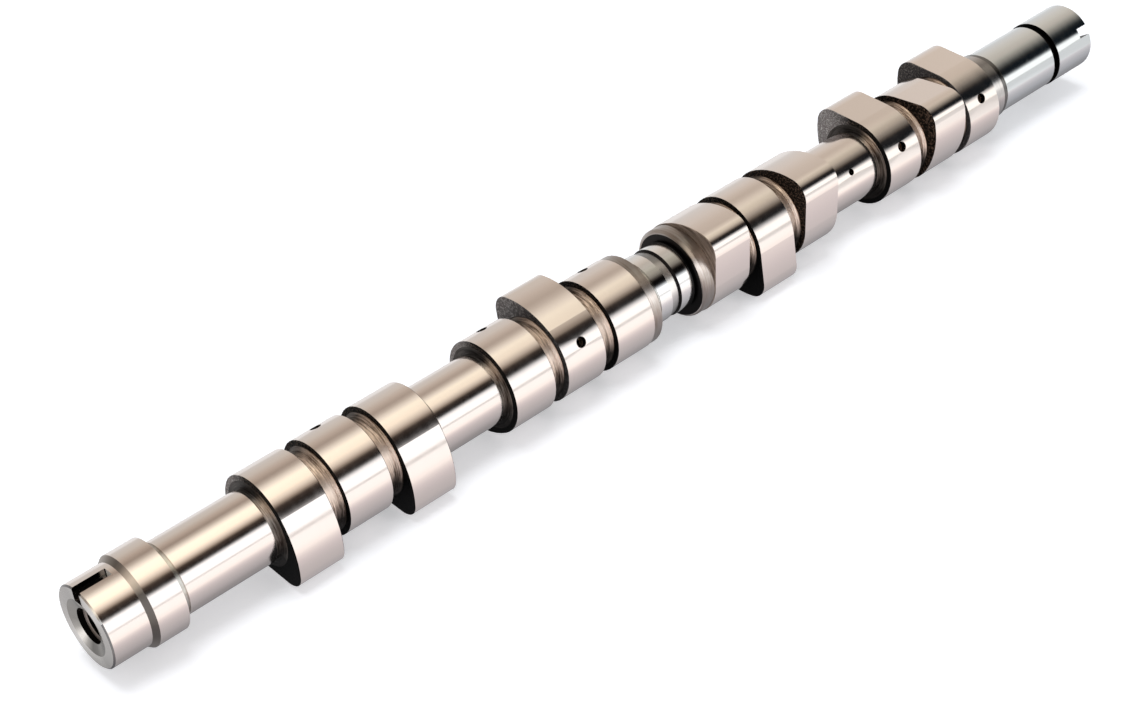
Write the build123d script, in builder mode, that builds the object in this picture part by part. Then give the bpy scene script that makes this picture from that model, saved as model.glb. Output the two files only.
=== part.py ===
from build123d import *
import math
import os

# Camshaft of a four-cylinder engine, with three cams to each cylinder, turned, drilled and
# ground from one chilled-iron casting. It is one solid piece.
# X runs along the shaft axis, from the nose face (the origin) to the drive end, and Z is up.
# Every angle is in degrees about +X, from straight up (+Z) towards -Y.
# The shaft lies as it comes to rest on a flat surface, on three of its cams.

# --- layout of the cams ---
firing_order = (1, 3, 4, 2)
cam_pattern = ("outer", "middle", "outer")      # the cams of one cylinder
cylinder_pitch = 90.0
cam_pitch = 22.3
cam_width = 17.0
first_cam_angle = 132.5         # nose of the outer cams of cylinder 1
middle_cam_offset = 95.0        # from the outer cams' nose to the middle cam's

# --- cam profile ---
base_circle_radius = 16.65
cam_lift = 5.85
cam_nose_radius = 7.0
full_flank_radius = 29.5        # one flank is convex, the other is straight
cam_edge_chamfer = 0.25

# --- radii along the shaft ---
nose_radius = 14.05
collar_radius = 15.5
journal_radius = 12.45
neck_radius = 13.6              # between the cams of one cylinder
thrust_ring_radius = 16.4
tail_ring_radius = 13.0
tail_radius = 12.75

# --- lengths along the shaft ---
nose_length = 13.2
collar_cone_length = 1.8
collar_length = 10.3
collar_relief_width = 2.5
front_journal_length = 31.4
relief_width = 2.2              # turned undercut where a journal meets a cam
relief_depth = 0.5
rear_thrust_ring_width = 3.6    # on the nose side of the centre journal
thrust_relief_width = 3.6
front_thrust_ring_width = 4.8   # on the drive side of the centre journal
shoulder_undercut_width = 0.9
feed_groove_offset = 0.4        # its bottom lies this far past the centre journal's middle
feed_groove_step_width = 0.9
feed_groove_taper_length = 3.4
feed_groove_depth = 0.65
tail_ring_width = 9.2
tail_relief_width = 0.9
tail_journal_length = 28.4
tail_groove_width = 2.6
tail_groove_depth = 1.5
tail_length = 19.9

# --- edges ---
neck_chamfer = 0.9
end_chamfer = 0.5
thrust_ring_chamfer = 0.9       # on the face that takes the thrust

# --- nose: key slot and threaded bore ---
countersink_radius = 9.6        # wide shallow seat for the bolt's washer
countersink_depth = 1.0
thread_radius = 6.0             # M12; the thread itself isn't cut
thread_depth = 32.0
keyway_width = 4.0
keyway_length = 11.3
keyway_floor_radius = 9.0
keyway_angle = -1.5

# --- oil drillings ---
gallery_radius = 3.5
gallery_wall = 30.0             # solid metal between the gallery and the drive end
drill_point_angle = 118.0
drill_start_clearance = 1.0     # the drill starts this far above the surface
cam_oil_hole_radius = 1.9
outer_cam_oil_hole_offset = 109.0
middle_cam_oil_hole_offset = 104.0
journal_oil_hole_radius = 1.2
journal_oil_hole_angle = 58.5

# --- drive end slot ---
drive_slot_width = 4.0
drive_slot_depth = 5.9
drive_slot_angle = 58.5

# --- stations that follow from the sizes above ---
cylinder_count = len(firing_order)
cams_per_cylinder = len(cam_pattern)
collar_start = nose_length + collar_cone_length
collar_end = collar_start + collar_length
front_journal_start = collar_end + collar_relief_width
first_cam_start = front_journal_start + front_journal_length + relief_width
cam_group_length = (cams_per_cylinder - 1) * cam_pitch + cam_width
group_starts = [first_cam_start + i * cylinder_pitch for i in range(cylinder_count)]
group_ends = [start + cam_group_length for start in group_starts]
centre = cylinder_count // 2 - 1        # the centre journal follows this cylinder
relief_radius = journal_radius - relief_depth
tail_ring_end = group_ends[-1] + tail_ring_width
tail_journal_start = tail_ring_end + tail_relief_width
tail_journal_end = tail_journal_start + tail_journal_length
tail_start = tail_journal_end + tail_groove_width
shaft_length = tail_start + tail_length
centre_journal_start = group_ends[centre] + rear_thrust_ring_width + thrust_relief_width
shoulder_x = group_starts[centre + 1] - front_thrust_ring_width
feed_groove_x = (centre_journal_start + shoulder_x) / 2 + feed_groove_offset


def radial(angle):
    """Unit vector square to the shaft at an angle about its axis."""
    return Vector(0, -math.sin(math.radians(angle)), math.cos(math.radians(angle)))


def cam_stations():
    """Start, nose angle, flank side and oil hole angle of every cam."""
    stations = []
    for turn, cylinder in enumerate(firing_order):
        outer_angle = first_cam_angle - turn * 360.0 / cylinder_count
        for number, kind in enumerate(cam_pattern):
            start = group_starts[cylinder - 1] + number * cam_pitch
            if kind == "outer":
                hole = outer_angle + outer_cam_oil_hole_offset
                stations.append((start, outer_angle, 1, hole))
            else:
                angle = outer_angle + middle_cam_offset
                stations.append((start, angle, -1, angle + middle_cam_oil_hole_offset))
    return stations


def cam_outline(side):
    """Cam profile with its nose along local +X and the straight flank on the given side."""
    nose_centre = Vector(base_circle_radius + cam_lift - cam_nose_radius, 0)
    # straight flank, tangent to the base circle and to the nose
    turn = math.acos((base_circle_radius - cam_nose_radius) / nose_centre.X)
    out = Vector(math.cos(turn), side * math.sin(turn))
    straight_base = out * base_circle_radius
    straight_nose = nose_centre + out * cam_nose_radius
    # convex flank, one arc tangent to both
    reach = full_flank_radius - base_circle_radius
    span = full_flank_radius - cam_nose_radius
    turn = math.acos((span**2 - reach**2 - nose_centre.X**2) / (2 * reach * nose_centre.X))
    out = Vector(math.cos(turn), -side * math.sin(turn))
    flank_centre = out * -reach
    convex_base = out * base_circle_radius
    to_nose = (nose_centre - flank_centre).normalized()
    convex_nose = nose_centre + to_nose * cam_nose_radius
    convex_middle = flank_centre + (out + to_nose).normalized() * full_flank_radius
    with BuildLine() as outline:
        ThreePointArc(convex_base, (-base_circle_radius, 0), straight_base)
        Line(straight_base, straight_nose)
        ThreePointArc(straight_nose, nose_centre + Vector(cam_nose_radius, 0), convex_nose)
        ThreePointArc(convex_nose, convex_middle, convex_base)
    return outline.wire()


def cam(start, angle, side):
    """One ground cam, with a small chamfer round both faces."""
    plane = Plane(origin=(start, 0, 0), x_dir=radial(angle), z_dir=(1, 0, 0))
    with BuildPart() as lobe:
        with BuildSketch(plane):
            make_face(cam_outline(side))
        extrude(amount=cam_width)
        chamfer(lobe.faces().filter_by(Axis.X).edges(), cam_edge_chamfer)
    add(lobe.part)


def shaft_section():
    """Half section of the bare shaft, from nose to drive end."""
    points = [
        (0, 0),
        (0, nose_radius),
        (nose_length, nose_radius),
        (collar_start, collar_radius),
        (collar_end, collar_radius),
        (collar_end, relief_radius),
        (front_journal_start, relief_radius),
        (front_journal_start, journal_radius),
    ]
    for i in range(cylinder_count):
        entry = group_starts[i]
        leave = group_ends[i]
        if i == centre + 1:
            # shoulder that takes the thrust, with a feed groove ahead of it
            points += [
                (feed_groove_x - feed_groove_taper_length, journal_radius),
                (feed_groove_x, journal_radius - feed_groove_depth),
                (feed_groove_x + feed_groove_step_width, journal_radius),
                (shoulder_x - shoulder_undercut_width, journal_radius),
                (shoulder_x - shoulder_undercut_width, relief_radius),
                (shoulder_x, relief_radius),
                (shoulder_x, thrust_ring_radius - thrust_ring_chamfer),
                (shoulder_x + thrust_ring_chamfer, thrust_ring_radius),
                (entry, thrust_ring_radius),
            ]
        else:
            points += [
                (entry - relief_width, journal_radius),
                (entry - relief_width, relief_radius),
                (entry, relief_radius),
            ]
        points += [(entry, neck_radius), (leave, neck_radius)]
        if i == centre:
            ring_end = leave + rear_thrust_ring_width
            points += [
                (leave, thrust_ring_radius),
                (ring_end, thrust_ring_radius),
                (ring_end, relief_radius),
                (centre_journal_start, relief_radius),
                (centre_journal_start, journal_radius),
            ]
        elif i < cylinder_count - 1:
            points += [
                (leave, relief_radius),
                (leave + relief_width, relief_radius),
                (leave + relief_width, journal_radius),
            ]
    points += [
        (group_ends[-1], tail_ring_radius),
        (tail_ring_end, tail_ring_radius),
        (tail_ring_end, relief_radius),
        (tail_journal_start, relief_radius),
        (tail_journal_start, journal_radius),
        (tail_journal_end, journal_radius),
        (tail_journal_end, journal_radius - tail_groove_depth),
        (tail_start, journal_radius - tail_groove_depth),
        (tail_start, tail_radius),
        (shaft_length, tail_radius),
        (shaft_length, 0),
    ]
    return points


def bore_section():
    """Half section of the countersunk threaded bore and the oil gallery behind it."""
    slope = 1 / math.tan(math.radians(drill_point_angle / 2))
    gallery_end = shaft_length - gallery_wall
    return [
        (0, 0),
        (0, countersink_radius),
        (countersink_depth, thread_radius),
        (thread_depth, thread_radius),
        (thread_depth + (thread_radius - gallery_radius) * slope, gallery_radius),
        (gallery_end - gallery_radius * slope, gallery_radius),
        (gallery_end, 0),
    ]


def oil_hole(x, angle, surface_radius, hole_radius):
    """Radial drilling from the surface down to the shaft axis, into the gallery."""
    depth = surface_radius + drill_start_clearance
    top = Vector(x, 0, 0) + radial(angle) * depth
    with Locations(Plane(origin=top, x_dir=(1, 0, 0), z_dir=radial(angle))):
        Hole(hole_radius, depth=depth)


def circles_at(part, radius, stations):
    """Circular edges of one radius that lie at any of the given stations."""
    return (
        part.edges()
        .filter_by(GeomType.CIRCLE)
        .filter_by(lambda e: math.isclose(e.radius, radius, abs_tol=1e-4))
        .filter_by(lambda e: any(abs(e.arc_center.X - x) < 1e-4 for x in stations))
    )


with BuildPart() as camshaft:
    # turned blank
    with BuildSketch(Plane.XY) as section:
        with BuildLine():
            Polyline(*shaft_section(), close=True)
        make_face()
    revolve(axis=Axis.X)
    chamfer(circles_at(camshaft, nose_radius, [0]), end_chamfer)
    chamfer(circles_at(camshaft, tail_radius, [shaft_length]), end_chamfer)

    # cams, and the sloped corners where the necks run into them
    for start, angle, side, _ in cam_stations():
        cam(start, angle, side)
    cam_faces = [start + w for start, _, _, _ in cam_stations() for w in (0, cam_width)]
    chamfer(circles_at(camshaft, neck_radius, cam_faces), neck_chamfer)

    # threaded bore and oil gallery
    with BuildSketch(Plane.XY) as bore:
        with BuildLine():
            Polyline(*bore_section(), close=True)
        make_face()
    revolve(axis=Axis.X, mode=Mode.SUBTRACT)

    # oil holes, from each cam and one journal into the gallery
    for start, _, _, angle in cam_stations():
        oil_hole(start + cam_width / 2, angle, base_circle_radius, cam_oil_hole_radius)
    middle = (group_ends[centre + 1] + group_starts[centre + 2]) / 2
    oil_hole(middle, journal_oil_hole_angle, journal_radius, journal_oil_hole_radius)

    # key slot in the nose, open at the face
    floor = radial(keyway_angle) * keyway_floor_radius
    with BuildSketch(Plane(origin=floor, x_dir=(1, 0, 0), z_dir=radial(keyway_angle))):
        Rectangle(keyway_length, keyway_width, align=(Align.MIN, Align.CENTER))
    extrude(amount=nose_radius, mode=Mode.SUBTRACT)

    # drive slot across the other end
    slot_plane = Plane(
        origin=(shaft_length, 0, 0), x_dir=radial(drive_slot_angle), z_dir=(1, 0, 0)
    )
    with BuildSketch(slot_plane):
        Rectangle(4 * tail_radius, drive_slot_width)
    extrude(amount=-drive_slot_depth, mode=Mode.SUBTRACT)

camshaft.part.label = "camshaft"

os.makedirs("parts", exist_ok=True)
export_step(camshaft.part, "parts/camshaft.step")
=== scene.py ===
import math

import bpy
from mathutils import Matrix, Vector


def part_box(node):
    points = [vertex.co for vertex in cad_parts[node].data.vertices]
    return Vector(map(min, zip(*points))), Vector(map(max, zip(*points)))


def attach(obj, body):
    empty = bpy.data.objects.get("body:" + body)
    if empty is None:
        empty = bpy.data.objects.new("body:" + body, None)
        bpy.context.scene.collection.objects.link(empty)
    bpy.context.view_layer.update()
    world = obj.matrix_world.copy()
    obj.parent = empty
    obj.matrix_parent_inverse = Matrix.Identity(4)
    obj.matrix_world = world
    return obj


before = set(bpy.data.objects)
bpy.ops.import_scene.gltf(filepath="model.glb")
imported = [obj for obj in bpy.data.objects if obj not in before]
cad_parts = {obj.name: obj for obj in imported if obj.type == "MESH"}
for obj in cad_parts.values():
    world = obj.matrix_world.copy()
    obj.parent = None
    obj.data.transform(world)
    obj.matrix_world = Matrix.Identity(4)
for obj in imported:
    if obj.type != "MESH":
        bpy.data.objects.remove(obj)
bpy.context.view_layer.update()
bpy.ops.object.select_all(action="DESELECT")

scene = bpy.context.scene
scene.view_settings.view_transform = "Standard"

# ---------------------------------------------------------------- sizes
# Start of each cylinder's first cam, and the cams' pitch, in mm from the nose face.
CYLINDER_STARTS = (61.4, 151.4, 241.4, 331.4)
CAM_PITCH = 22.3
# Where the finishes change along the shaft, in mm. Each reaches just past its own faces.
NOSE_FACE_DEPTH = 1.05              # the face and the washer seat in it
NOSE_EDGE = 0.5
KEY_SLOT = (0.02, 11.22)
KEY_SLOT_END = (11.22, 11.4)
CONE = (13.18, 15.02)
CAMS = (59.1, 393.02)
RELIEF_WIDTH = 2.2                  # undercut between a journal and the cam after it
MIDDLE = (213.05, 241.35)           # the centre journal and its two thrust rings
REAR_RING = (213.02, 216.62)
CENTRE_JOURNAL = (220.1, 235.8)
OIL_GROOVE = (225.42, 228.8)
OIL_GROOVE_STEP = (228.78, 229.72)
SHOULDER_UNDERCUT = (235.65, 236.7)
FRONT_RING = (236.55, 241.5)
FRONT_RING_ROOT = (240.0, 241.7)
TAIL_RING = (393.02, 402.22)
TAIL_RING_EDGE = (400.7, 402.22)
TAIL_START = (392.0, 404.0)         # the ground finish turns cooler between these
GALLERY_END = 426.0
TAIL_GROOVE = (431.3, 434.3)
DRIVE_SLOT = (448.05, 453.98)
# Radii in mm.
BORE_RADIUS = 6.05
SEAT_RADIUS = 9.6
SHELL_RADIUS = 10.0                 # all that lies outside the bores and slots
RELIEF_BAND = (11.5, 12.2)
SLOT_RADIUS = 12.2                  # the drive slot's floor and walls
STEP_RADIUS = 12.44
JOURNAL_RADIUS = 12.5
NECK_BAND = (12.47, 14.75)          # between cams
LOW_BAND = (11.0, 14.75)            # beside a journal, with the relief
KEY_RADIUS = 13.98
RING_RADIUS = 16.45
RING_SHADE = (14.95, 15.8)          # dark inside the first, and inside the second underneath
# Key slot, in metres.
KEY_OFFSET = 0.00024
KEY_HALF_WIDTH = 0.00203
KEY_FLOOR = 0.0088
# Thread in the nose, in metres.
THREAD_RADIUS = 0.006
THREAD_PITCH = 0.00175
THREAD_START = 0.0022
THREAD_TURNS = 16
THREAD_STEPS = 40
RIDGE_RADIUS = 0.00062
RIDGE_INSET = 0.0003
# Sweep, and where painted light lifts its shadow: from and to in metres, and the glow there.
FLOOR_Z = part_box("camshaft")[0][2]
FLOOR_SIZE = 12.0
NOSE_FADE = (0.012, -0.018, 0.42, 0.60)
FRONT_FADE = (-0.028, -0.060, 0.0, 0.09)
NOSE_FALLOFF = 4.0
MIRROR_REACH = 200                  # mm of the sweep that its mirrored table spans
# Grinding lines to the mm, grains to the metre, and bumps as strength and depth in metres.
GRINDING_PITCH = 9.0
GRAIN_SCALE = 1500.0
GROUND_BUMP = (0.10, 0.00004)
TURNED_BUMP = (0.5, 0.00012)
PITTED_BUMP = (0.6, 0.0004)
# Camera: mm, metres and degrees.
LENS = 70.96
SENSOR_WIDTH = 36.0
CAMERA_PLACE = (-0.1879, -0.46571, 0.41930)
CAMERA_TURN = (54.2407, 5.2540, -42.4397)


# ---------------------------------------------------------------- node helpers
def start_material(name):
    """Empty material with an output, and its node tree."""
    material = bpy.data.materials.new(name)
    material.use_nodes = True
    tree = material.node_tree
    tree.nodes.clear()
    return material, tree, tree.nodes.new("ShaderNodeOutputMaterial")


def feed(tree, value, socket):
    """Joins a socket to another, or writes a plain value on it."""
    if hasattr(value, "is_linked"):
        tree.links.new(value, socket)
    else:
        socket.default_value = value


def calc(tree, operation, *values):
    """Result of a Math node."""
    node = tree.nodes.new("ShaderNodeMath")
    node.operation = operation
    for socket, value in zip(node.inputs, values):
        feed(tree, value, socket)
    return node.outputs[0]


def chain(tree, operation, values):
    """One operation over any number of values."""
    total = values[0]
    for value in values[1:]:
        total = calc(tree, operation, total, value)
    return total


def both(tree, *masks):
    """1 where all the masks hold."""
    return chain(tree, "MULTIPLY", masks)


def either(tree, *masks):
    """1 where one of several masks that don't overlap holds."""
    return chain(tree, "ADD", masks)


def unless(tree, mask):
    """1 where the mask is 0."""
    return calc(tree, "SUBTRACT", 1.0, mask)


def over(tree, value, low):
    """1 where value lies above low."""
    return calc(tree, "GREATER_THAN", value, low)


def under(tree, value, high):
    """1 where value lies below high."""
    return calc(tree, "LESS_THAN", value, high)


def within(tree, value, low, high):
    """1 where value lies between low and high."""
    return both(tree, over(tree, value, low), under(tree, value, high))


def length(tree, first, second):
    """Length of a right triangle's long side."""
    return calc(tree, "SQRT", calc(tree, "ADD", calc(tree, "MULTIPLY", first, first),
                                   calc(tree, "MULTIPLY", second, second)))


def spread(tree, value, low, high, start=0.0, end=1.0, smooth=False):
    """Maps low..high of value on to start..end."""
    node = tree.nodes.new("ShaderNodeMapRange")
    if smooth:
        node.interpolation_type = "SMOOTHSTEP"
    for socket, item in zip(node.inputs, (value, low, high, start, end)):
        feed(tree, item, socket)
    return node.outputs[0]


def blend(tree, factor, first, second, kind="MIX"):
    """Colour between first and second, or another kind of mix of them."""
    node = tree.nodes.new("ShaderNodeMix")
    node.data_type = "RGBA"
    node.blend_type = kind
    feed(tree, factor, node.inputs["Factor"])
    feed(tree, first, node.inputs[6])
    feed(tree, second, node.inputs[7])
    return node.outputs[2]


def blend_value(tree, factor, first, second):
    """Value between first and second."""
    node = tree.nodes.new("ShaderNodeMix")
    feed(tree, factor, node.inputs["Factor"])
    feed(tree, first, node.inputs[2])
    feed(tree, second, node.inputs[3])
    return node.outputs[0]


def shade(*rgb):
    """Opaque colour."""
    return (*rgb, 1.0)


def noise(tree, vector, scale, detail, roughness):
    """Value of a noise."""
    node = tree.nodes.new("ShaderNodeTexNoise")
    sockets = {"Vector": vector, "Scale": scale, "Detail": detail, "Roughness": roughness}
    for label, value in sockets.items():
        feed(tree, value, node.inputs[label])
    return node.outputs[0]


def ramp(tree, factor, stops):
    """Colour ramp through (place, colour) stops."""
    node = tree.nodes.new("ShaderNodeValToRGB")
    feed(tree, factor, node.inputs[0])
    elements = node.color_ramp.elements
    for element, (place, colour) in zip(elements, (stops[0], stops[-1])):
        element.position = place
        element.color = colour
    for place, colour in stops[1:-1]:
        elements.new(place).color = colour
    return node.outputs[0]


def painted_light_round(tree, turn, levels, tint=(1.0, 1.0, 1.0)):
    """A tint with painted highlight and shade that brightens and dulls over a full turn."""
    stops = [((angle + 180) / 360, shade(*(level * part for part in tint)))
             for angle, level in levels]
    return ramp(tree, turn, stops)


def cards(tree, place, table, reach, strength):
    """Colours of a studio's cards, with stops from -reach to reach."""
    stops = [((at + reach) / (2 * reach), shade(*(part / strength for part in rgb)))
             for at, rgb in table]
    return ramp(tree, place, stops)


def coordinates(tree, kind):
    """The three numbers of a texture coordinate."""
    coords = tree.nodes.new("ShaderNodeTexCoord")
    split = tree.nodes.new("ShaderNodeSeparateXYZ")
    tree.links.new(coords.outputs[kind], split.inputs[0])
    return split.outputs


def axis_angle(tree, y, z):
    """Angle about the shaft's axis, from straight up towards the front."""
    return calc(tree, "ARCTAN2", calc(tree, "MULTIPLY", y, -1.0), z)


def add_bump(tree, height, strength, distance, below=None):
    """Normal of a bump, over the one below it."""
    node = tree.nodes.new("ShaderNodeBump")
    node.inputs["Strength"].default_value = strength
    node.inputs["Distance"].default_value = distance
    feed(tree, height, node.inputs["Height"])
    if below:
        feed(tree, below, node.inputs["Normal"])
    return node.outputs[0]


def add_light(tree, kind, colour, strength):
    """Emission or background of a colour and strength."""
    node = tree.nodes.new(kind)
    feed(tree, colour, node.inputs["Color"])
    feed(tree, strength, node.inputs["Strength"])
    return node.outputs[0]


def pick(tree, factor, first, second):
    """First shader, or the second where factor is 1."""
    node = tree.nodes.new("ShaderNodeMixShader")
    for socket, item in zip(node.inputs, (factor, first, second)):
        tree.links.new(item, socket)
    return node.outputs[0]


def group_of(name, inputs, outputs):
    """New shader node group with plain number sockets: its inputs and its output node's."""
    group = bpy.data.node_groups.new(name, "ShaderNodeTree")
    for labels, way in ((inputs, "INPUT"), (outputs, "OUTPUT")):
        for label in labels:
            group.interface.new_socket(label, in_out=way, socket_type="NodeSocketFloat")
    entry = group.nodes.new("NodeGroupInput")
    leave = group.nodes.new("NodeGroupOutput")
    return group, entry.outputs, leave.inputs


def place_group(tree, group, **values):
    """Places a group in a tree and returns its outputs."""
    node = tree.nodes.new("ShaderNodeGroup")
    node.node_tree = group
    for label, value in values.items():
        feed(tree, value, node.inputs[label])
    return node.outputs


# ---------------------------------------------------------------- shared effects
def make_station_group():
    """Place on the shaft: station and radius in mm, angle, and how far a face looks along it."""
    group, _, leave = group_of("shaft_place", [], ["Station", "Radius", "Angle", "End Face"])
    x, y, z = (calc(group, "MULTIPLY", metres, 1000.0)
               for metres in coordinates(group, "Object"))
    facing, _, _ = coordinates(group, "Normal")
    feed(group, x, leave["Station"])
    feed(group, length(group, y, z), leave["Radius"])
    feed(group, axis_angle(group, y, z), leave["Angle"])
    feed(group, calc(group, "ABSOLUTE", facing), leave["End Face"])
    return group


def cam_face(group, x, cylinder, cam):
    """Mask of one cam's face on the nose side; cylinders and cams count from 1."""
    start = CYLINDER_STARTS[cylinder - 1] + (cam - 1) * CAM_PITCH
    return within(group, x, start - 0.5, start + 0.5)


def cam_masks(group, place):
    """Necks between the cams, and the cams' cast faces with their rust, and pale skin with a
    painted highlight on some of them.
    """
    x, r, angle = place["Station"], place["Radius"], place["Angle"]
    cams = within(group, x, *CAMS)
    middle = within(group, x, *MIDDLE)
    # the relief between a journal and the cam after it takes the necks' bronze, with their
    # painted light and shade
    starts = [CYLINDER_STARTS[0], CYLINDER_STARTS[1], CYLINDER_STARTS[3]]
    beside = either(group, *(within(group, x, start - RELIEF_WIDTH + 0.02, start + 0.02)
                             for start in starts))
    low = calc(group, "MAXIMUM", both(group, cams, within(group, r, *NECK_BAND)),
               both(group, beside, within(group, r, *LOW_BAND)))
    side = over(group, place["End Face"], 0.6)
    pale = either(group, cam_face(group, x, 1, 1), cam_face(group, x, 4, 1),
                  cam_face(group, x, 2, 1))
    # pale skin on some cam faces, kept to their upper part as a painted highlight
    pale_skin_and_highlight = either(
        group,
        both(group, pale, spread(group, angle, -0.15, -0.7)),
        both(group, cam_face(group, x, 2, 2), spread(group, angle, 0.1, -0.65, 0.12, 0.62)),
        both(group, cam_face(group, x, 4, 3), 0.22))
    relief = both(group, within(group, r, *RELIEF_BAND), unless(group, side))
    return {
        "Journal Neck": beside,
        "Neck": both(group, low, unless(group, middle)),
        "Cast Face": both(group, side, over(group, r, JOURNAL_RADIUS),
                          calc(group, "SUBTRACT", cams, middle)),
        "Rust": either(group, cam_face(group, x, 3, 3), cam_face(group, x, 4, 2)),
        "Pale Skin And Highlight": pale_skin_and_highlight,
        "Relief": both(group, relief, unless(group, beside)),
    }


def middle_masks(group, place):
    """Thrust rings and the centre journal between them, with its oil groove."""
    x, r = place["Station"], place["Radius"]
    shaded = spread(group, place["Angle"], 1.5, 2.1, *RING_SHADE)
    rings = either(group, within(group, x, *REAR_RING), within(group, x, *FRONT_RING))
    step = both(group, within(group, x, *OIL_GROOVE_STEP), under(group, r, STEP_RADIUS))
    undercut = both(group, within(group, x, *SHOULDER_UNDERCUT), under(group, r, shaded))
    return {
        "Ring": both(group, rings, over(group, r, shaded), under(group, r, RING_RADIUS)),
        "Root": within(group, x, *FRONT_RING_ROOT),
        "Centre": within(group, x, *CENTRE_JOURNAL),
        "Groove": within(group, x, *OIL_GROOVE),
        "Step": calc(group, "MAXIMUM", step, undercut),
    }


def end_masks(group, place):
    """Nose with its key slot, seat and bore, and the drive end with its ring and slots."""
    x, r, end = place["Station"], place["Radius"], place["End Face"]
    _, across, height = coordinates(group, "Object")
    shell = over(group, r, SHELL_RADIUS)
    sideways = calc(group, "ABSOLUTE", calc(group, "ADD", across, KEY_OFFSET))
    key = both(group, under(group, sideways, KEY_HALF_WIDTH), over(group, height, KEY_FLOOR),
               under(group, r, KEY_RADIUS))
    slots = either(group, both(group, key, within(group, x, *KEY_SLOT)),
                   both(group, under(group, r, SLOT_RADIUS), within(group, x, *DRIVE_SLOT)),
                   both(group, within(group, x, *TAIL_GROOVE), shell))
    face = under(group, x, NOSE_FACE_DEPTH)
    rim = both(group, under(group, x, NOSE_EDGE), within(group, end, 0.4, 0.9))
    # the rim is painted dark as shade, except at the angles where it is lit
    lit = within(group, place["Angle"], -0.1, 0.95)
    return {
        "Slot": calc(group, "MINIMUM", slots, 1.0),
        "Slot End": both(group, key, within(group, x, *KEY_SLOT_END)),
        "Bore": both(group, under(group, r, BORE_RADIUS), under(group, x, GALLERY_END)),
        "Nose Face": both(group, face, over(group, end, 0.5)),
        "Dish": both(group, face, under(group, r, SEAT_RADIUS)),
        "Painted Rim Shade": both(group, rim, unless(group, lit)),
        "Cone": both(group, within(group, x, *CONE), shell),
        "Tail Ring": both(group, within(group, x, *TAIL_RING), shell),
        "Tail": spread(group, x, *TAIL_START),
    }


def make_zone_group(station_group):
    """Masks of the finishes along the shaft, and of the painted shade in slots, bores, steps and
    on the nose face's rim.
    """
    names = ["Journal Neck", "Neck", "Cast Face", "Rust", "Pale Skin And Highlight", "Relief", "Ring", "Root",
             "Centre", "Groove", "Step", "Slot", "Slot End", "Bore", "Nose Face", "Dish",
             "Painted Rim Shade", "Cone", "Tail Ring", "Tail"]
    group, _, leave = group_of("shaft_zones", [], names)
    place = place_group(group, station_group)
    for find_masks in (cam_masks, middle_masks, end_masks):
        for name, mask in find_masks(group, place).items():
            feed(group, mask, leave[name])
    return group


def make_grinding_group(station_group):
    """Lines round the shaft: a height for the bump, broad wear, and coarse turned streaks."""
    group, entry, leave = group_of("grinding_lines", ["Pitch"], ["Height", "Wear", "Streak"])
    place = place_group(group, station_group)
    depth = calc(group, "ADD", place["Station"], calc(group, "MULTIPLY", place["Radius"], 0.9))
    for label, along, around, detail in (("Height", entry["Pitch"], 1.0, 3.0),
                                         ("Wear", 0.35, 0.6, 2.0), ("Streak", 1.7, 1.6, 4.0)):
        vector = group.nodes.new("ShaderNodeCombineXYZ")
        feed(group, calc(group, "MULTIPLY", depth, along), vector.inputs[0])
        feed(group, calc(group, "MULTIPLY", place["Angle"], around), vector.inputs[1])
        lines = noise(group, vector.outputs[0], 1.0, detail, 0.65)
        if label == "Streak":
            lines = spread(group, lines, 0.36, 0.64)
        feed(group, lines, leave[label])
    return group


def make_grain_group():
    """As-cast skin: a height, and a mottling for its colour."""
    group, entry, leave = group_of("cast_grain", ["Scale"], ["Height", "Mottle"])
    place = group.nodes.new("ShaderNodeTexCoord").outputs["Object"]
    feed(group, noise(group, place, entry["Scale"], 5.0, 0.65), leave["Height"])
    coarse = noise(group, place, 420.0, 3.0, 0.6)
    feed(group, spread(group, coarse, 0.36, 0.66), leave["Mottle"])
    return group


# ---------------------------------------------------------------- finishes
# Painted highlights and shade on the turned surfaces: how bright each is painted round the axis,
# by angle from straight up towards the front. The nose face and the washer seat in it get a
# painted sheen along two opposite radii.
FACE_PAINTED_SHEEN = [
    (-180, 0.93), (-160, 0.93), (-140, 1.0), (-120, 0.65), (-100, 0.48), (-70, 0.38),
    (-30, 0.34), (5, 0.45), (38, 0.72), (60, 0.48), (85, 0.47), (140, 0.61), (160, 0.87),
    (180, 0.93),
]
SEAT_PAINTED_SHEEN = [
    (-180, 0.15), (-160, 0.42), (-145, 0.94), (-137, 0.95), (-120, 0.41), (-100, 0.28),
    (-60, 0.25), (-34, 0.18), (-20, 0.07), (-6, 0.51), (15, 1.0), (60, 1.0), (84, 0.94),
    (104, 0.30), (140, 0.29), (160, 0.16), (180, 0.15),
]
# Painted light and shade on the necks: dull on top, a painted highlight in front and painted
# black shade underneath; beside a journal only a narrow part of them gets the painted highlight.
NECK_PAINTED_LIGHT = [
    (-180, 0.10), (-50, 0.10), (-18, 0.20), (4, 0.85), (80, 1.0), (94, 0.45),
    (108, 0.06), (180, 0.03),
]
JOURNAL_NECK_PAINTED_LIGHT = [
    (-180, 0.03), (-40, 0.10), (-14, 0.05), (8, 0.08), (18, 0.48), (28, 0.80),
    (44, 1.0), (50, 0.86), (58, 0.44), (70, 0.38), (88, 0.46), (122, 0.03), (180, 0.02),
]
# Painted highlight on the necks between cams: where they are painted bright.
NECK_PAINTED_GLINT = [(-180, 0.0), (34, 0.0), (48, 0.80), (62, 0.95), (74, 0.45), (86, 0.0), (180, 0.0)]
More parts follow.
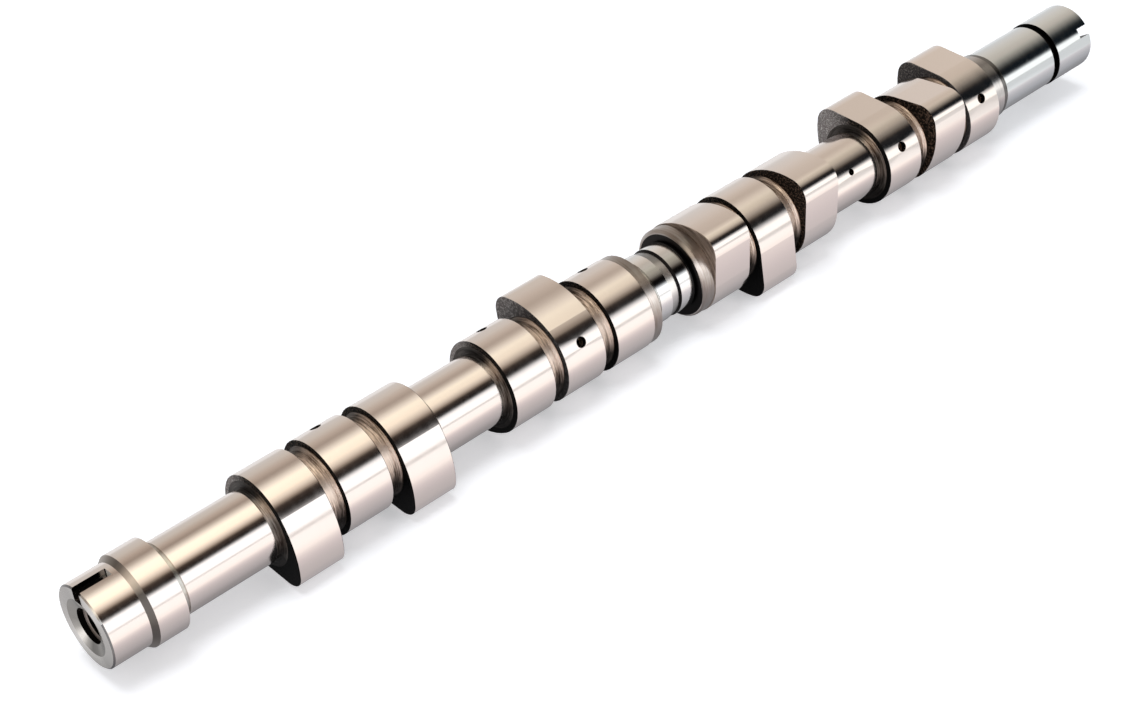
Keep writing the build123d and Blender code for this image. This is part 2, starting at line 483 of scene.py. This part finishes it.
# Painted bands of highlight and shade on the turned cone behind the nose, thrust rings, tail
# ring, and the centre journal with its oil groove.
CONE_PAINTED_BANDS = [
    (-180, 0.32), (-32, 0.32), (-12, 0.20), (-2, 0.14), (8, 0.21), (18, 0.51), (28, 0.58),
    (38, 0.44), (48, 0.15), (90, 0.12), (108, 0.17), (128, 0.34), (180, 0.34),
]
RING_PAINTED_BANDS = [
    (-180, 0.40), (-32, 0.41), (-12, 0.385), (8, 0.31), (18, 0.22), (28, 0.255), (38, 0.42),
    (48, 0.95), (58, 0.89), (68, 0.67), (78, 0.41), (88, 0.37), (180, 0.36),
]
TAIL_RING_PAINTED_BANDS = [
    (-180, 0.54), (-12, 0.51), (-2, 0.44), (8, 0.34), (18, 0.23), (28, 0.37), (38, 0.56),
    (48, 0.85), (58, 0.65), (68, 0.75), (78, 0.55), (180, 0.52),
]
CENTRE_PAINTED_BANDS = [
    (-180, 0.66), (-32, 0.66), (-12, 0.81), (8, 0.86), (20, 0.48), (28, 0.37), (38, 0.36),
    (46, 0.10), (52, 0.30), (58, 0.79), (68, 0.89), (78, 0.76), (118, 0.79), (128, 0.62),
    (180, 0.61),
]
GROOVE_PAINTED_BANDS = [
    (-180, 0.21), (8, 0.22), (18, 0.29), (28, 0.69), (38, 0.84), (58, 0.97), (68, 1.0),
    (78, 0.74), (98, 0.54), (108, 0.48), (118, 0.28), (128, 0.19), (180, 0.19),
]


def neck_finish(tree, zone, turn, streak):
    """Bronze of the turned necks, with painted light and shade round them, and how far the
    painted light reaches.
    """
    between = unless(tree, zone["Journal Neck"])
    reach = blend(tree, zone["Journal Neck"], painted_light_round(tree, turn, NECK_PAINTED_LIGHT),
                  painted_light_round(tree, turn, JOURNAL_NECK_PAINTED_LIGHT))
    painted_glint = both(tree, painted_light_round(tree, turn, NECK_PAINTED_GLINT), between)
    bright = blend(tree, between, shade(1.0, 0.90, 0.82), shade(1.0, 0.82, 0.70))
    bronze = blend(tree, blend_value(tree, painted_glint, streak, 1.0), shade(0.13, 0.085, 0.06),
                   bright)
    # painted shade: near-black where the painted light doesn't reach, as underneath
    return blend(tree, reach, shade(0.004, 0.003, 0.003), bronze), reach


def turned_finishes(tree, zone, place, turn, mottle, streak):
    """Zone, colour and roughness of what is turned or ground, apart from the necks, with painted
    highlights and shade round the axis.
    """
    relief = blend(tree, mottle, shade(0.42, 0.40, 0.36), shade(0.56, 0.54, 0.50))
    flat = painted_light_round(tree, turn, FACE_PAINTED_SHEEN, (1.0, 0.965, 0.94))
    # painted shade on the nose face's rim, outside the angles where it is lit
    flat = blend(tree, zone["Painted Rim Shade"], flat, shade(0.16, 0.155, 0.155))
    seat = painted_light_round(tree, turn, SEAT_PAINTED_SHEEN, (1.0, 0.955, 0.90))
    ring = blend(tree, streak, shade(0.74, 0.62, 0.55), shade(1.0, 0.92, 0.86))
    ring = blend(tree, 1.0, ring, painted_light_round(tree, turn, RING_PAINTED_BANDS), "MULTIPLY")
    tail_ring = blend(tree, streak, shade(0.86, 0.85, 0.84), shade(1.0, 1.0, 1.0))
    tail_painted_bands = painted_light_round(tree, turn, TAIL_RING_PAINTED_BANDS, (1.0, 0.96, 0.94))
    tail_ring = blend(tree, 1.0, tail_ring, tail_painted_bands, "MULTIPLY")
    # painted shade: a dark band round the tail ring's far edge
    far_edge_shade = within(tree, place["Station"], *TAIL_RING_EDGE)
    return [
        ("Relief", relief, 0.26),
        ("Ring", ring, 0.28),
        ("Tail Ring", blend(tree, far_edge_shade, tail_ring, shade(0.16, 0.155, 0.15)), 0.20),
        ("Cone", painted_light_round(tree, turn, CONE_PAINTED_BANDS, (1.0, 0.89, 0.81)), 0.36),
        ("Nose Face", blend(tree, zone["Dish"], flat, seat), 0.24),
        ("Centre", painted_light_round(tree, turn, CENTRE_PAINTED_BANDS, (1.0, 0.99, 0.98)), 0.12),
        ("Groove", painted_light_round(tree, turn, GROOVE_PAINTED_BANDS, (1.0, 0.98, 0.95)), 0.30),
        ("Slot End", shade(0.95, 0.88, 0.80), 0.50),
    ]


def cast_finish(tree, zone, place, skin, streak):
    """Dark skin with fine brown specks on its upper half, painted as lit there, with the lower
    half painted black as shade; pale skin with a painted highlight on some cams, browner on
    others.
    """
    speck = spread(tree, skin["Height"], 0.50, 0.60)
    # the specks show only on the upper half, as painted light; the lower half is painted black
    # as shade
    above = spread(tree, place["Angle"], 0.9, -0.3)
    cast = blend(tree, both(tree, speck, above), shade(0.002, 0.002, 0.002),
                 shade(0.10, 0.075, 0.058))
    pale_skin_and_highlight = blend(tree, skin["Mottle"], shade(0.50, 0.475, 0.465), shade(0.80, 0.77, 0.76))
    pale_skin_and_highlight = blend(tree, speck, shade(0.28, 0.255, 0.25), pale_skin_and_highlight)
    rust = blend(tree, speck, shade(0.004, 0.003, 0.002), shade(0.125, 0.08, 0.058))
    root = blend(tree, streak, shade(0.10, 0.075, 0.06), shade(0.42, 0.34, 0.29))
    for label, tint in (("Pale Skin And Highlight", pale_skin_and_highlight), ("Rust", rust), ("Root", root)):
        cast = blend(tree, zone[label], cast, tint)
    return cast


def make_shaft_iron(stations, zones, grinding, grain):
    """Chilled iron, ground on journals and cams, turned and as cast between them, with
    highlights and shade painted into its colour in places.
    """
    material, tree, out = start_material("camshaft_iron")
    shader = tree.nodes.new("ShaderNodeBsdfPrincipled")
    tree.links.new(shader.outputs[0], out.inputs[0])
    place = place_group(tree, stations)
    zone = place_group(tree, zones)
    lines = place_group(tree, grinding, Pitch=GRINDING_PITCH)
    skin = place_group(tree, grain, Scale=GRAIN_SCALE)
    turn = spread(tree, place["Angle"], -math.pi, math.pi)
    streak = lines["Streak"]

    colour = blend(tree, zone["Tail"], shade(0.77, 0.70, 0.66), shade(0.675, 0.70, 0.71))
    rough = spread(tree, lines["Wear"], 0.3, 0.7, 0.10, 0.15)
    bronze, reach = neck_finish(tree, zone, turn, streak)
    finishes = turned_finishes(tree, zone, place, turn, skin["Mottle"], streak)
    # the necks go over the reliefs, and everything else over the necks
    finishes.insert(1, ("Neck", bronze, 0.38))
    for label, tint, polish in finishes:
        colour = blend(tree, zone[label], colour, tint)
        rough = blend_value(tree, zone[label], rough, polish)

    face = both(tree, zone["Cast Face"], unless(tree, zone["Neck"]))
    colour = blend(tree, face, colour, cast_finish(tree, zone, place, skin, streak))
    rough = blend_value(tree, face, rough, 0.55)
    metal = blend_value(tree, zone["Neck"], 1.0, spread(tree, reach, 0.0, 0.2))
    metal = blend_value(tree, face, metal, blend_value(tree, zone["Root"], 0.0, 0.9))
    metal = blend_value(tree, zone["Slot End"], metal, 0.0)

    # painted shade: the slots, the bore and the steps are painted near-black, as the shade in
    # them
    dark = chain(tree, "MAXIMUM", [zone["Slot"], zone["Bore"], zone["Step"]])
    colour = blend(tree, dark, colour, shade(0.012, 0.011, 0.011))
    rough = blend_value(tree, dark, rough, 0.45)
    feed(tree, colour, shader.inputs["Base Color"])
    feed(tree, rough, shader.inputs["Roughness"])
    feed(tree, metal, shader.inputs["Metallic"])
    feed(tree, 0.05, shader.inputs["Specular IOR Level"])

    ground = add_bump(tree, lines["Height"], *GROUND_BUMP)
    turned = add_bump(tree, both(tree, zone["Neck"], streak), *TURNED_BUMP, ground)
    pitted = add_bump(tree, both(tree, face, skin["Height"]), *PITTED_BUMP, turned)
    feed(tree, pitted, shader.inputs["Normal"])
    return material


def make_thread_steel():
    """Bare cut thread, darker than the rest of the iron."""
    material, tree, out = start_material("thread_steel")
    shader = tree.nodes.new("ShaderNodeBsdfPrincipled")
    tree.links.new(shader.outputs[0], out.inputs[0])
    feed(tree, shade(0.30, 0.255, 0.235), shader.inputs["Base Color"])
    feed(tree, 1.0, shader.inputs["Metallic"])
    feed(tree, 0.3, shader.inputs["Roughness"])
    return material


# ---------------------------------------------------------------- nose thread
def make_thread(material):
    """Helical ridge of the M12 thread on the wall of the bore."""
    bpy.ops.mesh.primitive_circle_add(vertices=3, radius=RIDGE_RADIUS, fill_type="NOTHING",
                                      rotation=(math.radians(-90), 0.0, 0.0),
                                      location=(THREAD_START, 0.0, THREAD_RADIUS - RIDGE_INSET))
    thread = bpy.context.object
    thread.name = "nose_thread"
    bpy.ops.object.transform_apply(location=True, rotation=True, scale=True)
    screw = thread.modifiers.new("helix", "SCREW")
    screw.axis = "X"
    screw.steps = THREAD_STEPS
    screw.render_steps = THREAD_STEPS
    screw.screw_offset = THREAD_PITCH
    screw.iterations = THREAD_TURNS
    screw.use_smooth_shade = False
    bpy.ops.object.modifier_apply(modifier=screw.name)
    bpy.ops.object.mode_set(mode="EDIT")
    bpy.ops.mesh.select_all(action="SELECT")
    bpy.ops.mesh.normals_make_consistent(inside=False)
    bpy.ops.object.mode_set(mode="OBJECT")
    thread.data.materials.append(material)
    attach(thread, "root")
    return thread


# ---------------------------------------------------------------- surroundings
# Brightness of the white sweep as the iron mirrors it, by distance in mm in front of the axis,
# and behind it where negative; the dark dip round the axis is a painted shadow of the shaft.
MIRRORED_FLOOR = [
    (-200, (0.95, 0.95, 0.95)), (-60, (0.93, 0.92, 0.92)), (-37, (0.80, 0.79, 0.79)),
    (-24, (0.60, 0.60, 0.60)), (-12, (0.36, 0.36, 0.36)), (0, (0.23, 0.23, 0.24)),
    (12, (0.38, 0.375, 0.39)), (18, (0.53, 0.52, 0.545)), (26, (0.66, 0.635, 0.655)),
    (37, (0.83, 0.775, 0.80)), (47, (1.06, 0.99, 0.99)), (58, (1.32, 1.25, 1.22)),
    (80, (1.38, 1.36, 1.34)), (200, (1.38, 1.38, 1.38)),
]
FLOOR_STRENGTH = 1.4


def make_floor():
    """White sweep that keeps the shaft's soft shadow."""
    bpy.ops.mesh.primitive_plane_add(size=FLOOR_SIZE, location=(0.0, 0.0, FLOOR_Z))
    floor = bpy.context.object
    floor.name = "floor"
    material, tree, out = start_material("white_sweep")
    rays = tree.nodes.new("ShaderNodeLightPath").outputs
    along, across, _ = coordinates(tree, "Object")

    paint = tree.nodes.new("ShaderNodeBsdfDiffuse")
    feed(tree, shade(0.88, 0.898, 0.935), paint.inputs["Color"])
    # painted light: the glow lifts the shadow ahead of the nose, and in front of the cams
    bright = calc(tree, "ADD",
                  spread(tree, along, *NOSE_FADE, smooth=True),
                  spread(tree, across, *FRONT_FADE, smooth=True))
    glow = add_light(tree, "ShaderNodeEmission", shade(0.985, 0.985, 1.0),
                     both(tree, rays["Is Camera Ray"], bright))
    lit = tree.nodes.new("ShaderNodeAddShader")
    tree.links.new(paint.outputs[0], lit.inputs[0])
    tree.links.new(glow, lit.inputs[1])

    # as mirrored: by distance from the axis, which grows fast ahead of the nose; it is darker
    # towards the drive end
    ahead = calc(tree, "MULTIPLY", calc(tree, "MINIMUM", along, 0.0), NOSE_FALLOFF)
    away = calc(tree, "MULTIPLY", length(tree, ahead, across), calc(tree, "SIGN", across))
    away = spread(tree, away, MIRROR_REACH / 1000, -MIRROR_REACH / 1000)
    glare = cards(tree, away, MIRRORED_FLOOR, MIRROR_REACH, FLOOR_STRENGTH)
    limit = blend(tree, spread(tree, along, 0.36, 0.5), shade(1.0, 1.0, 1.0),
                  shade(0.66, 0.66, 0.66))
    card = add_light(tree, "ShaderNodeEmission", blend(tree, 1.0, glare, limit, "DARKEN"),
                     FLOOR_STRENGTH)
    seen = pick(tree, rays["Is Glossy Ray"], lit.outputs[0], card)
    tree.links.new(seen, out.inputs[0])
    floor.data.materials.append(material)


# Studio round the shaft, by angle about its axis from overhead (0) towards the
# viewer (90): dim back wall, soft box overhead, black gap, white card in front.
OVERHEAD_NEAR = [
    (-180, (0.86, 0.85, 0.84)), (-112, (0.76, 0.74, 0.73)), (-92, (0.76, 0.74, 0.72)),
    (-62, (0.71, 0.66, 0.60)),
    (-46, (0.595, 0.505, 0.43)), (-31, (0.39, 0.32, 0.265)), (-22, (0.61, 0.54, 0.47)),
    (-10, (1.20, 1.12, 0.98)), (-2, (1.60, 1.50, 1.25)), (16, (1.58, 1.42, 1.17)),
    (27, (1.04, 0.92, 0.78)), (34, (0.52, 0.43, 0.35)), (40, (0.07, 0.05, 0.04)),
    (52, (0.015, 0.011, 0.009)), (56, (0.12, 0.12, 0.12)), (63, (1.50, 1.55, 1.60)),
    (86, (1.50, 1.55, 1.60)), (89, (0.86, 0.80, 0.77)), (92, (0.86, 0.80, 0.77)),
    (95, (1.40, 1.40, 1.40)), (180, (1.40, 1.40, 1.40)),
]
OVERHEAD_FAR = [
    (-180, (0.90, 0.90, 0.92)), (-92, (0.82, 0.82, 0.82)), (-62, (0.86, 0.80, 0.75)),
    (-34, (0.82, 0.74, 0.65)), (-12, (0.67, 0.59, 0.51)), (-2, (0.52, 0.47, 0.41)),
    (8, (0.33, 0.30, 0.26)), (18, (0.16, 0.15, 0.14)), (26, (0.045, 0.05, 0.05)),
    (34, (0.004, 0.008, 0.012)), (56, (0.004, 0.008, 0.012)), (62, (0.12, 0.13, 0.14)),
    (70, (1.45, 1.45, 1.42)), (86, (1.50, 1.50, 1.46)), (90, (0.60, 0.60, 0.58)),
    (180, (0.60, 0.60, 0.58)),
]
STUDIO_STRENGTH = 1.6
DOME_STRENGTH = 0.43         # plain light from all round
OVERHEAD_STRENGTH = 6.2      # and from the soft box above, which gives the contact shadow


def make_studio():
    """Even white light for paint, and a studio of soft cards for what is mirrored."""
    world = bpy.data.worlds.new("studio")
    scene.world = world
    world.use_nodes = True
    tree = world.node_tree
    tree.nodes.clear()
    x, y, z = coordinates(tree, "Generated")
    turn = spread(tree, axis_angle(tree, y, z), -math.pi, math.pi)
    lean = calc(tree, "DIVIDE", x, calc(tree, "MAXIMUM", length(tree, y, z), 0.01))
    near, far = (cards(tree, turn, table, 180, STUDIO_STRENGTH)
                 for table in (OVERHEAD_NEAR, OVERHEAD_FAR))
    overhead = blend(tree, spread(tree, lean, 0.35, 1.0), near, far)
    mirrored = add_light(tree, "ShaderNodeBackground", overhead, STUDIO_STRENGTH)
    white = shade(1.0, 1.0, 1.0)
    strength = spread(tree, z, 0.945, 0.99, DOME_STRENGTH, OVERHEAD_STRENGTH, smooth=True)
    plain = add_light(tree, "ShaderNodeBackground", white, strength)
    # the sweep's white goes on behind it
    backdrop = add_light(tree, "ShaderNodeBackground", white, 1.0)
    rays = tree.nodes.new("ShaderNodeLightPath").outputs
    light = pick(tree, rays["Is Glossy Ray"], plain, mirrored)
    light = pick(tree, rays["Is Camera Ray"], light, backdrop)
    out = tree.nodes.new("ShaderNodeOutputWorld")
    tree.links.new(light, out.inputs[0])


def make_camera():
    """Camera in front of the nose and above it, looking along the shaft."""
    data = bpy.data.cameras.new("camera")
    data.lens = LENS
    data.sensor_width = SENSOR_WIDTH
    data.clip_start = 0.01
    data.clip_end = 20.0
    camera = bpy.data.objects.new("camera", data)
    camera.location = CAMERA_PLACE
    camera.rotation_euler = [math.radians(angle) for angle in CAMERA_TURN]
    scene.collection.objects.link(camera)
    scene.camera = camera


make_camera()
make_studio()
make_floor()
station_group = make_station_group()
camshaft = bpy.data.objects["camshaft"]
camshaft.material_slots[0].material = make_shaft_iron(
    station_group, make_zone_group(station_group), make_grinding_group(station_group),
    make_grain_group())

make_thread(make_thread_steel())
